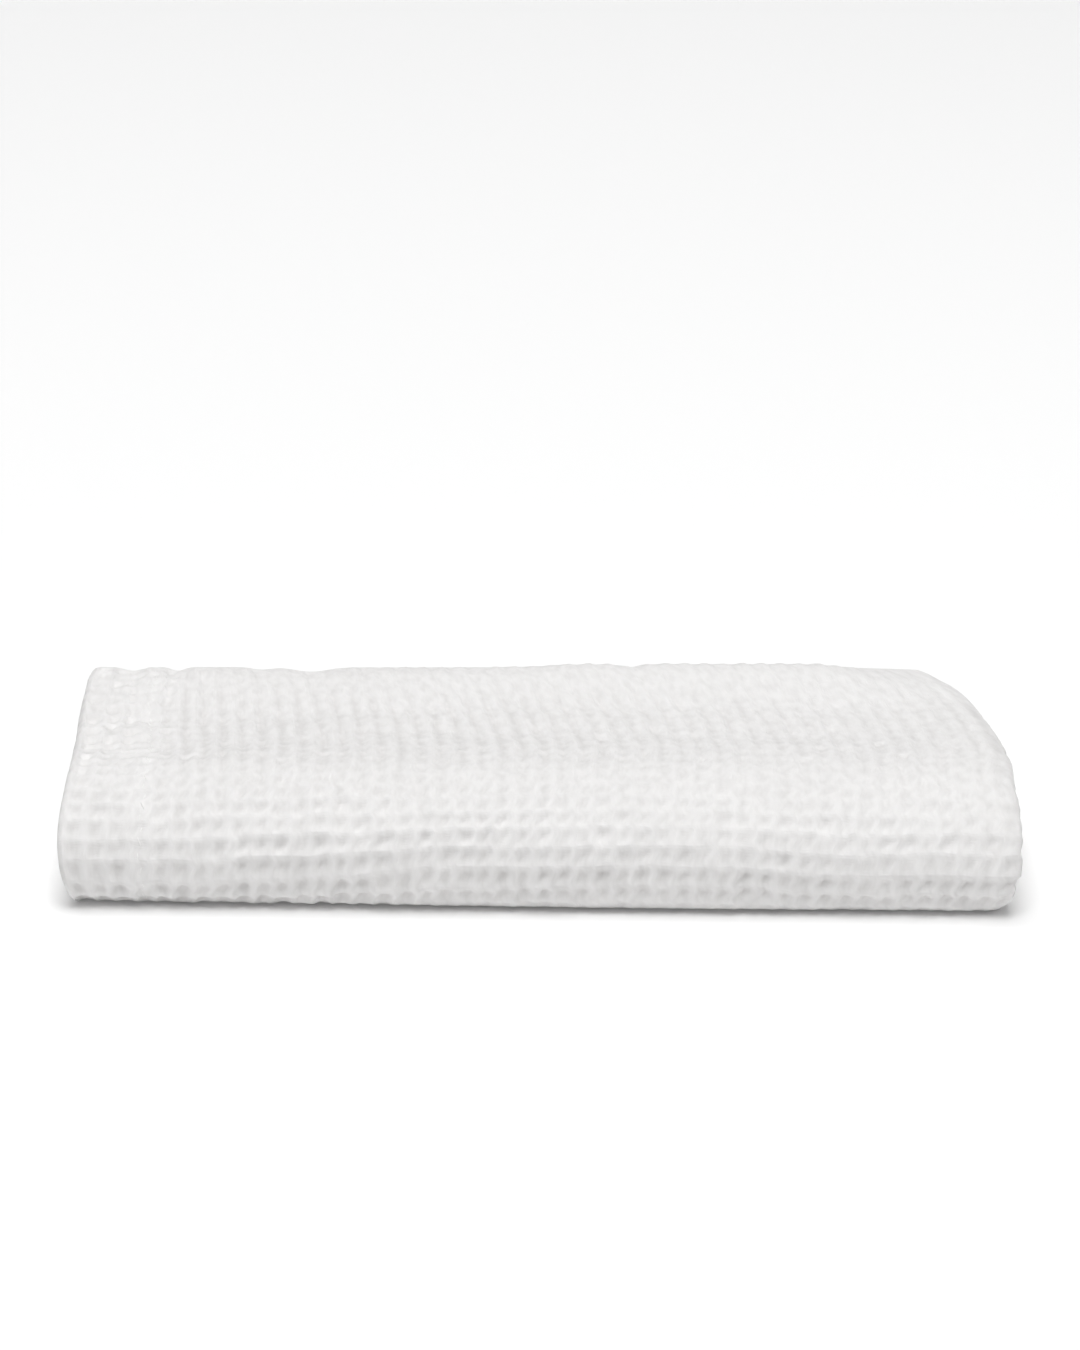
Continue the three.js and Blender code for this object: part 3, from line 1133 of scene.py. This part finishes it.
@dataclass
class LinenCloth:
    """The cloth of the towel: one closed sheet, with two hems and two selvedges."""

    shape: TowelShape
    finish: LinenFinish = LinenFinish()
    name: str = "linen_cloth"
    wrapped_cells: float = 3.0
    nose_steps: int = 6
    sparse_count: int = 22
    wrong_count: int = 14
    hem_places: tuple[float, ...] = (0.3, 0.6, 0.9, 1.0)
    step_places: tuple[float, ...] = (0.0, 0.35, 0.7, 1.0)
    rounding_places: tuple[float, ...] = (0.0, 0.12, 0.4, 1.0)
    past_rounding: float = 1.3
    digits: int = 6

    def _nose(self, to_right: bool) -> list[tuple[float, float]]:
        """Points round a hemmed end between its two sides.

        Args:
            to_right: whether the points run towards the right side of the cloth.

        Returns:
            Distance from the end and depth of each point, without the first and the last.
        """
        cloth = self.shape.cloth
        high, low = cloth.thickness / 2, -(cloth.thickness / 2 + cloth.hem_extra)
        middle, half = (high + low) / 2, (high - low) / 2
        angles = [math.pi / 2 + math.pi * step / self.nose_steps for step in range(1, self.nose_steps)]
        points = [(cloth.hem_nose * (1 + math.cos(a)), middle + half * math.sin(a)) for a in angles]
        return points[::-1] if to_right else points

    def _in_order(self, lines: list[float]) -> list[float]:
        """The lines in order, each once."""
        return sorted({round(float(line), self.digits) for line in lines})

    def _right_lines(self) -> list[float]:
        """Distances along the cloth at which its right side has a line of points.

        Returns:
            The distances in order.
        """
        cloth, shape = self.shape.cloth, self.shape
        pitch = shape.weave.column_pitch(cloth)
        ridge = cloth.hem_depth + pitch / 2
        dense_end = shape.turn_end + self.wrapped_cells * pitch
        sparse_end = cloth.length - cloth.hem_depth - 2 * cloth.groove_reach
        lines = CellDetail.FULL.lines(cloth.hem_nose, shape.straight, pitch, ridge)
        lines += CellDetail.TURN.lines(shape.straight, shape.turn_end, pitch, ridge)
        lines += CellDetail.FULL.lines(shape.turn_end, dense_end, pitch, ridge)
        lines += [*np.linspace(dense_end, sparse_end, self.sparse_count)]
        lines += [cloth.length - cloth.hem_depth * place for place in self.hem_places]
        for end, inwards in ((0.0, 1), (cloth.length, -1)):
            seam = end + inwards * cloth.hem_depth
            lines += [seam - cloth.groove_reach, seam, seam + cloth.groove_reach]
            lines.append(end + inwards * cloth.hem_nose)
        return self._in_order(lines)

    def _wrong_lines(self) -> list[float]:
        """Distances along the cloth at which its wrong side has a line of points.

        Returns:
            The distances in order.
        """
        cloth, shape = self.shape.cloth, self.shape
        hem = [cloth.hem_nose, *(cloth.hem_depth * place for place in self.hem_places)]
        hem += [cloth.hem_depth + cloth.hem_step * place for place in self.step_places]
        hem += [*np.linspace(cloth.hem_depth + 2 * cloth.hem_step, shape.straight, self.wrong_count)]
        turn = [*np.linspace(shape.straight, shape.turn_end, self.nose_steps + 1)]
        return self._in_order(hem + turn + [cloth.length - line for line in hem])

    def _loop(self) -> list[LoopPoint]:
        """The line of points round the cloth.

        Returns:
            The points, from the first hemmed end along the right side and back along the wrong side.
        """
        cloth, shape = self.shape.cloth, self.shape
        pitch = shape.weave.column_pitch(cloth)
        relief_end = shape.turn_end + self.wrapped_cells * pitch
        loop = []
        for line in self._right_lines():
            shown = 1.0 - eased(line, relief_end - pitch, relief_end)
            loop.append(LoopPoint(line, cloth.right_side(line), shown))
        near_nose, far_nose = self._nose(to_right=True), self._nose(to_right=False)
        loop += [LoopPoint(cloth.length - from_end, depth, 0.0) for from_end, depth in far_nose]
        loop += [LoopPoint(line, cloth.wrong_side(line), 0.0) for line in reversed(self._wrong_lines())]
        return loop + [LoopPoint(from_end, depth, 0.0) for from_end, depth in near_nose]

    def _rows(self) -> list[float]:
        """Distances across the outer layer at which the cloth has a row of points.

        Returns:
            The distances in order.
        """
        path, weave, cloth = self.shape.path, self.shape.weave, self.shape.cloth
        edge = [cloth.selvedge_rounding * place for place in self.rounding_places]
        first = cloth.selvedge_rounding * self.past_rounding
        parts = ("back turn", "bottom layer", "front low turn")
        back, bottom, front = (path.across_start(part) for part in parts)
        stretches = (
            (first, back, CellDetail.HIDDEN),
            (back, bottom, CellDetail.FULL),
            (bottom, front, CellDetail.UNDERSIDE),
            (front, path.across_end - first, CellDetail.FULL),
        )
        rows = edge + [path.across_end - place for place in edge]
        for start, end, detail in stretches:
            rows += detail.lines(start, end, weave.row_pitch, weave.first_ridge)
        return sorted(rows)

    def _closing_faces(self, loop: list[LoopPoint], base: int, flipped: bool) -> list[tuple[int, ...]]:
        """Triangles that close the cloth at a selvedge, between its right and its wrong side.

        Args:
            loop: the line of points round the cloth.
            base: index of the row's first point.
            flipped: whether the faces turn the other way.

        Returns:
            The triangles' indices.
        """
        along = [point.along for point in loop]
        near_tip, far_tip = along.index(min(along)), along.index(max(along))
        right = [*range(near_tip + 1, len(loop)), *range(far_tip + 1)]
        wrong = [*range(near_tip - 1, far_tip - 1, -1)]
        steps = [(along[point], side, point) for side, line in enumerate((right, wrong)) for point in line]
        here = [near_tip, near_tip]
        faces = []
        for _, side, point in sorted(steps):
            corners = (*here, point)
            here[side] = point
            if len(set(corners)) == len(corners):
                ordered = corners[::-1] if flipped else corners
                faces.append(tuple(base + corner for corner in ordered))
        return faces

    def _faces(self, loop: list[LoopPoint], row_count: int) -> list[tuple[int, ...]]:
        """Faces of the whole cloth.

        Args:
            loop: the line of points round the cloth.
            row_count: how many rows have such a line.

        Returns:
            Indices of the quads between neighbouring rows, and of the triangles at the two selvedges.
        """
        count = len(loop)
        index = np.arange(row_count * count).reshape(row_count, count)
        near, far = index[:-1], index[1:]
        quads = np.stack([near, np.roll(near, -1, axis=1), np.roll(far, -1, axis=1), far], axis=-1)
        faces = [tuple(quad) for quad in quads.reshape(-1, 4).tolist()]
        faces += self._closing_faces(loop, 0, flipped=False)
        return faces + self._closing_faces(loop, (row_count - 1) * count, flipped=True)

    @staticmethod
    def _write_map(mesh: bpy.types.Mesh, along: np.ndarray, across: np.ndarray) -> None:
        """Gives the mesh its own map, in metres along and across the flat cloth.

        Args:
            mesh: the cloth's mesh.
            along: distance along the cloth of each point.
            across: distance across the outer layer of each point.
        """
        corners = np.zeros(len(mesh.loops), dtype=np.int32)
        mesh.loops.foreach_get("vertex_index", corners)
        places = np.stack([along.ravel()[corners], across.ravel()[corners]], axis=-1)
        layer = mesh.uv_layers.new(name=WEAVE_MAP)
        layer.uv.foreach_set("vector", places.astype(np.float32).ravel())

    @staticmethod
    def _write_numbers(mesh: bpy.types.Mesh, name: str, values: np.ndarray) -> None:
        """Gives the mesh a number at each point."""
        attribute = mesh.attributes.new(name, "FLOAT", "POINT")
        attribute.data.foreach_set("value", values.astype(np.float32).ravel())

    def build(self) -> bpy.types.Object:
        """Makes the cloth.

        Returns:
            The cloth, resting on the floor at zero height.
        """
        shape, weave = self.shape, self.shape.weave
        loop, rows = self._loop(), self._rows()
        across = np.array(rows)[:, None] * np.ones(len(loop))
        along, depth, modelled = (np.tile(values, (len(rows), 1)) for values in np.array(loop).T)
        points = shape.surface(along, across, depth, modelled).reshape(-1, 3)
        points[:, 2] -= points[:, 2].min()
        column, row = weave.cells(along, across, shape.cloth)
        furrow = shape.furrow_share(along, across)
        # Painted shade: how deep each point lies in its cell, which the material turns into a darker colour
        # in the recesses where shade falls. It is weaker in the square cells in front than in the furrows on
        # top.
        recess = weave.recess_share(column, row, furrow) * shape.relief_share(along, across)
        recess = recess * blended(weave.square_painted_shade, 1.0, furrow)

        mesh = bpy.data.meshes.new(self.name)
        mesh.from_pydata(points.tolist(), [], self._faces(loop, len(rows)))
        self._write_map(mesh, along, across)
        self._write_numbers(mesh, MODELLED, modelled)
        self._write_numbers(mesh, PAINTED_SHADE_ATTRIBUTE, recess)
        mesh.polygons.foreach_set("use_smooth", np.ones(len(mesh.polygons), dtype=bool))
        mesh.materials.append(self.finish.build(weave, shape.cloth))
        mesh.update()
        cloth = bpy.data.objects.new(self.name, mesh)
        bpy.context.scene.collection.objects.link(cloth)
        return cloth


@dataclass
class HemStitching:
    """The stitches that hold the two hems, in a line 20 mm from either hemmed end."""

    shape: TowelShape
    finish: ThreadFinish = ThreadFinish()
    name: str = "hem_stitching"
    stitch: float = 0.003
    pitch: float = 0.0035
    thread_radius: float = 0.00016
    lift: float = 0.00002
    end_sink: float = 0.0004
    sink_power: float = 3.0
    end_thinning: float = 0.5
    thinning_power: float = 4.0
    slope_reach: float = 0.00075
    from_selvedge: float = 0.003
    thread_sides: int = 6
    cuts: int = 3
    crookedness: float = 0.06
    seed: int = 7

    def _model_stitch(self) -> bpy.types.Object:
        """Shapes one stitch along Y.

        Returns:
            The stitch, arched so that both of its ends go down into the cloth.
        """
        bpy.ops.object.select_all(action="DESELECT")
        bpy.ops.mesh.primitive_cylinder_add(vertices=self.thread_sides, radius=self.thread_radius,
                                            depth=self.stitch, rotation=(math.pi / 2, 0.0, 0.0))
        stitch = bpy.context.object
        bpy.ops.object.transform_apply(location=False, rotation=True, scale=False)
        bpy.ops.object.mode_set(mode="EDIT")
        bpy.ops.mesh.select_all(action="DESELECT")
        bpy.ops.object.mode_set(mode="OBJECT")
        for edge in stitch.data.edges:
            ends = [stitch.data.vertices[vertex].co.y for vertex in edge.vertices]
            edge.select = min(ends) < 0.0 < max(ends)
        bpy.ops.object.mode_set(mode="EDIT")
        bpy.ops.mesh.select_mode(type="EDGE")
        bpy.ops.mesh.subdivide(number_cuts=self.cuts)
        bpy.ops.object.mode_set(mode="OBJECT")
        for vertex in stitch.data.vertices:
            outwards = abs(vertex.co.y) / (self.stitch / 2)
            girth = 1.0 - self.end_thinning * outwards**self.thinning_power
            vertex.co.x *= girth
            vertex.co.z = vertex.co.z * girth - self.end_sink * outwards**self.sink_power
        for polygon in stitch.data.polygons:
            polygon.use_smooth = True
        return stitch

    def _frame_at(self, along: float, across: float, angle: float, modelled: float) -> Matrix:
        """Finds where a stitch lies on the right side of the cloth.

        Args:
            along: distance of its middle from the first hemmed end, along the cloth.
            across: distance of its middle from the tucked selvedge, across the outer layer.
            angle: how far it is turned out of line.
            modelled: share of the relief that is real shape there.

        Returns:
            Its place and turn.
        """
        step = self.slope_reach
        cloth = self.shape.cloth
        sides = np.array([(0.0, 0.0), (step, 0.0), (-step, 0.0), (0.0, step), (0.0, -step)])
        depth = cloth.thickness / 2 - cloth.groove_depth + self.lift
        points = self.shape.surface(along + sides[:, 0], across + sides[:, 1], depth, modelled)
        middle, right, left, far, near = (Vector(point) for point in points.tolist())
        forward = (far - near).normalized()
        normal = (right - left).cross(forward).normalized()
        turned = Matrix.Rotation(angle, 3, normal) @ forward
        sideways = turned.cross(normal)
        frame_matrix = Matrix((sideways, turned, normal)).transposed().to_4x4()
        frame_matrix.translation = middle
        return frame_matrix

    def build(self) -> bpy.types.Object:
        """Sews both hems.

        Returns:
            All stitches as one joined mesh.
        """
        pattern = self._model_stitch()
        pattern.data.materials.append(self.finish.build())
        cloth = self.shape.cloth
        random = np.random.default_rng(self.seed)
        places = np.arange(self.from_selvedge, self.shape.path.across_end - self.from_selvedge, self.pitch)
        stitches = []
        for seam, modelled in ((cloth.hem_depth, 1.0), (cloth.length - cloth.hem_depth, 0.0)):
            for across in places:
                angle = float(random.uniform(-self.crookedness, self.crookedness))
                stitch = pattern.copy()
                stitch.data = pattern.data.copy()
                stitch.matrix_world = self._frame_at(seam, float(across), angle, modelled)
                bpy.context.scene.collection.objects.link(stitch)
                stitches.append(stitch)
        bpy.data.objects.remove(pattern)
        bpy.ops.object.select_all(action="DESELECT")
        for stitch in stitches:
            stitch.select_set(True)
        bpy.context.view_layer.objects.active = stitches[0]
        bpy.ops.object.join()
        thread = bpy.context.object
        bpy.ops.object.transform_apply(location=True, rotation=True, scale=True)
        thread.name = self.name
        return thread


@dataclass(frozen=True)
class StudioFloor:
    """A plain pale floor under the towel."""

    size: float = 12.0
    below: float = 0.00005
    colour: Colour = (0.98, 0.98, 0.98)
    roughness: float = 0.9
    glow_colour: Colour = (1.0, 1.0, 1.0)
    glow: float = 0.05

    def build(self) -> None:
        """Makes the floor and its material."""
        bpy.ops.object.select_all(action="DESELECT")
        bpy.ops.mesh.primitive_plane_add(size=self.size, location=(0.0, 0.0, -self.below))
        floor = bpy.context.object
        floor.name = "floor"
        bench = NodeBench("pale_floor")
        bench.fill(bench.shader, {
            "Base Color": (*self.colour, 1.0),
            "Roughness": self.roughness,
            "Specular IOR Level": 0.0,
            "Emission Color": (*self.glow_colour, 1.0),
            "Emission Strength": self.glow,
        })
        floor.data.materials.append(bench.material)


@dataclass(frozen=True)
class SoftLight:
    """A large soft area light that points at the towel."""

    name: str
    place: tuple[float, float, float]
    size: float
    energy: float

    def build(self) -> None:
        """Adds the light."""
        data = bpy.data.lights.new(self.name, "AREA")
        data.shape = "DISK"
        data.size = self.size
        data.energy = self.energy
        lamp = bpy.data.objects.new(self.name, data)
        lamp.location = self.place
        lamp.rotation_mode = "QUATERNION"
        lamp.rotation_quaternion = (-Vector(self.place)).to_track_quat("-Z", "Y")
        bpy.context.scene.collection.objects.link(lamp)


@dataclass(frozen=True)
class Studio:
    """Plain soft light: wide overhead and above the front, and weak from the back left and the right."""

    surroundings: float = 0.07
    surroundings_colour: Colour = (1.0, 1.0, 1.0)
    lights: tuple[SoftLight, ...] = (
        SoftLight("overhead_light", (0.0, 0.5, 4.0), 3.0, 61.5),
        SoftLight("front_light", (0.0, -1.5, 3.3), 2.1, 73.0),
        SoftLight("back_left_light", (-1.9, 0.9, 3.1), 1.6, 16.0),
        SoftLight("right_light", (2.0, -0.2, 1.4), 1.6, 4.5),
    )

    def build(self) -> None:
        """Adds the lights and the surroundings, with colours shown as they are."""
        world = bpy.data.worlds.new("pale_surroundings")
        bpy.context.scene.world = world
        world.use_nodes = True
        background = world.node_tree.nodes["Background"]
        background.inputs["Color"].default_value = (*self.surroundings_colour, 1.0)
        background.inputs["Strength"].default_value = self.surroundings
        for light in self.lights:
            light.build()
        bpy.context.scene.view_settings.view_transform = "Standard"


@dataclass(frozen=True)
class PhotoCamera:
    """The photograph's point of view, a long lens a little above the towel."""

    elevation: float = 22.0
    distance: float = 1.73
    aim_height: float = 0.016
    aim_above: float = 1.02
    focal_pixels: float = 6410.0
    frame_height: float = 1350.0
    sensor: float = 36.0

    def build(self) -> None:
        """Makes the camera and puts it to use."""
        data = bpy.data.cameras.new("photo_camera")
        data.sensor_width = self.sensor
        data.lens = self.focal_pixels / self.frame_height * self.sensor
        camera = bpy.data.objects.new("photo_camera", data)
        elevation = math.radians(self.elevation)
        pitch = elevation - math.radians(self.aim_above)
        camera.location = (0.0, -self.distance * math.cos(elevation),
                           self.aim_height + self.distance * math.sin(elevation))
        camera.rotation_euler = (math.pi / 2 - pitch, 0.0, 0.0)
        bpy.context.scene.collection.objects.link(camera)
        bpy.context.scene.camera = camera


def main() -> None:
    """Builds the camera, the studio and the towel, and reports the towel's pieces."""
    PhotoCamera().build()
    Studio().build()
    StudioFloor().build()
    sizes, fold = Cloth(), FoldSizes()
    folding = HandFolding(length=sizes.length / 2, depth=fold.depth)
    shape = TowelShape(sizes, fold, folding, HoneycombWeave())
    cloth = LinenCloth(shape).build()
    thread = HemStitching(shape).build()
    for piece in (cloth, thread):
        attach(piece, BODY)
        log.info("%s: %d points, %d faces", piece.name, len(piece.data.vertices), len(piece.data.polygons))
    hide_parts(CAD_NODE)


if __name__ == "__main__":
    main()
